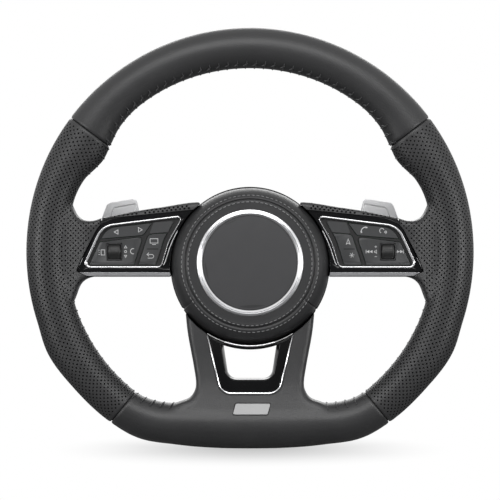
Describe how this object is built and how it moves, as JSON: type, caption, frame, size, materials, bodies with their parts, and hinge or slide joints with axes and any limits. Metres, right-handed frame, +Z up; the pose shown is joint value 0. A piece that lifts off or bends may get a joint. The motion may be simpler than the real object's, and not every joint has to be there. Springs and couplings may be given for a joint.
{
  "type": "car steering wheel",
  "caption": "Flat-bottomed leather car steering wheel with switch pods, thumb rollers, gear paddles and a sprung airbag module that works the horn.",
  "frame": {"origin": "on the steering axis, at the back end of the column bore where the hub meets the column", "axes": "+Z up with the wheel straight ahead, +Y forwards along the column away from the driver, +X to the driver's right"},
  "size_m": [0.369, 0.071, 0.347],
  "materials": {
    "cast_frame": "as cast",
    "foam": "moulded foam",
    "smooth_leather": "fine grain, semi-matte",
    "perforated_leather": "perforated",
    "gloss_black": "piano black",
    "satin_silver": "satin",
    "bright_trim": "bright satin",
    "key_plastic": "soft matte",
    "black_plastic": "moulded",
    "circuit_board": "lacquered",
    "roller_black": "ribbed",
    "paddle_alloy": "satin",
    "steel": "plated",
    "rear_plastic": "fine texture",
    "cap_plastic": "fine grain",
    "cushion_fabric": "woven"
  },
  "bodies": {
    "root": {"armature": "cast_frame", "frame_arms": "cast_frame", "rim_foam": "foam", "leather_top": "smooth_leather", "leather_grip_left": "perforated_leather", "leather_grip_right": "perforated_leather", "leather_bottom": "smooth_leather", "spoke_trim_left": "gloss_black", "spoke_trim_right": "gloss_black", "spoke_strip_left": "satin_silver", "spoke_strip_right": "satin_silver", "bezel_left": "bright_trim", "bezel_right": "bright_trim", "switch_fascia_left": "key_plastic", "switch_fascia_right": "key_plastic", "switch_housing_left": "black_plastic", "switch_housing_right": "black_plastic", "switch_board_left": "circuit_board", "switch_board_right": "circuit_board", "paddle_bracket_left": "black_plastic", "paddle_bracket_right": "black_plastic", "paddle_pin_left": "steel", "paddle_pin_right": "steel", "lower_trim": "gloss_black", "lower_trim_line": "bright_trim", "badge_plate": "paddle_alloy", "rear_cover": "rear_plastic", "rear_cover_screws": "steel", "horn_springs": "steel"},
    "airbag_module": {"airbag_cover": "smooth_leather", "airbag_ring": "bright_trim", "airbag_cap": "cap_plastic", "airbag_cushion": "cushion_fabric", "inflator": "steel", "airbag_backplate": "steel", "inflator_nuts": "steel", "horn_guide_pins": "steel"},
    "rocker_key_left": {"rocker_key_left": "key_plastic"},
    "mode_key_left": {"mode_key_left": "key_plastic"},
    "roller_pad_left": {"roller_pad_left": "key_plastic"},
    "roller_cradle_left": {"roller_cradle_left": "black_plastic"},
    "roller_left": {"roller_left": "roller_black", "roller_axle_left": "steel"},
    "paddle_left": {"paddle_lever_left": "black_plastic", "paddle_blade_left": "paddle_alloy"},
    "rocker_key_right": {"rocker_key_right": "key_plastic"},
    "mode_key_right": {"mode_key_right": "key_plastic"},
    "roller_pad_right": {"roller_pad_right": "key_plastic"},
    "roller_cradle_right": {"roller_cradle_right": "black_plastic"},
    "roller_right": {"roller_right": "roller_black", "roller_axle_right": "steel"},
    "paddle_right": {"paddle_lever_right": "black_plastic", "paddle_blade_right": "paddle_alloy"}
  },
  "joints": [
    {"name": "horn_press", "type": "slide", "parent": "root", "child": "airbag_module", "axis": [0, 1, 0], "range_m": [0, 0.002], "stiffness_N_per_m": 12000, "deforming": ["horn_springs"]},
    {"name": "rocker_key_left_tilt", "type": "hinge", "parent": "root", "child": "rocker_key_left", "pos_m": [-0.1045, -0.051, 0.0174], "axis": [0, 0, 1], "range_deg": [-1.8, 1.8], "stiffness_Nm_per_rad": 1.2},
    {"name": "mode_key_left_tilt", "type": "hinge", "parent": "root", "child": "mode_key_left", "pos_m": [-0.0798, -0.051, 0.002], "axis": [1, 0, 0], "range_deg": [-2.2, 2.2], "stiffness_Nm_per_rad": 1.2},
    {"name": "roller_pad_left_tilt", "type": "hinge", "parent": "root", "child": "roller_pad_left", "pos_m": [-0.1121, -0.051, 0], "axis": [0, 0, 1], "range_deg": [-1.6, 1.6], "stiffness_Nm_per_rad": 1.2},
    {"name": "roller_left_press", "type": "slide", "parent": "root", "child": "roller_cradle_left", "axis": [0, 1, 0], "range_m": [0, 0.0008], "stiffness_N_per_m": 3000},
    {"name": "roller_left_turn", "type": "hinge", "parent": "roller_cradle_left", "child": "roller_left", "pos_m": [-0.1121, -0.05142, 0], "axis": [1, 0, 0], "continuous": true},
    {"name": "paddle_left_pull", "type": "hinge", "parent": "root", "child": "paddle_left", "pos_m": [-0.072, -0.0225, 0.0022], "axis": [0, 0, 1], "range_deg": [0, 4], "stiffness_Nm_per_rad": 6},
    {"name": "rocker_key_right_tilt", "type": "hinge", "parent": "root", "child": "rocker_key_right", "pos_m": [0.1045, -0.051, 0.0174], "axis": [0, 0, 1], "range_deg": [-1.8, 1.8], "stiffness_Nm_per_rad": 1.2},
    {"name": "mode_key_right_tilt", "type": "hinge", "parent": "root", "child": "mode_key_right", "pos_m": [0.0798, -0.051, 0.002], "axis": [1, 0, 0], "range_deg": [-2.2, 2.2], "stiffness_Nm_per_rad": 1.2},
    {"name": "roller_pad_right_tilt", "type": "hinge", "parent": "root", "child": "roller_pad_right", "pos_m": [0.114, -0.051, 0], "axis": [0, 0, 1], "range_deg": [-1.6, 1.6], "stiffness_Nm_per_rad": 1.2},
    {"name": "roller_right_press", "type": "slide", "parent": "root", "child": "roller_cradle_right", "axis": [0, 1, 0], "range_m": [0, 0.0008], "stiffness_N_per_m": 3000},
    {"name": "roller_right_turn", "type": "hinge", "parent": "roller_cradle_right", "child": "roller_right", "pos_m": [0.114, -0.05142, 0], "axis": [1, 0, 0], "continuous": true},
    {"name": "paddle_right_pull", "type": "hinge", "parent": "root", "child": "paddle_right", "pos_m": [0.072, -0.0225, 0.0022], "axis": [0, 0, -1], "range_deg": [0, 4], "stiffness_Nm_per_rad": 6}
  ]
}
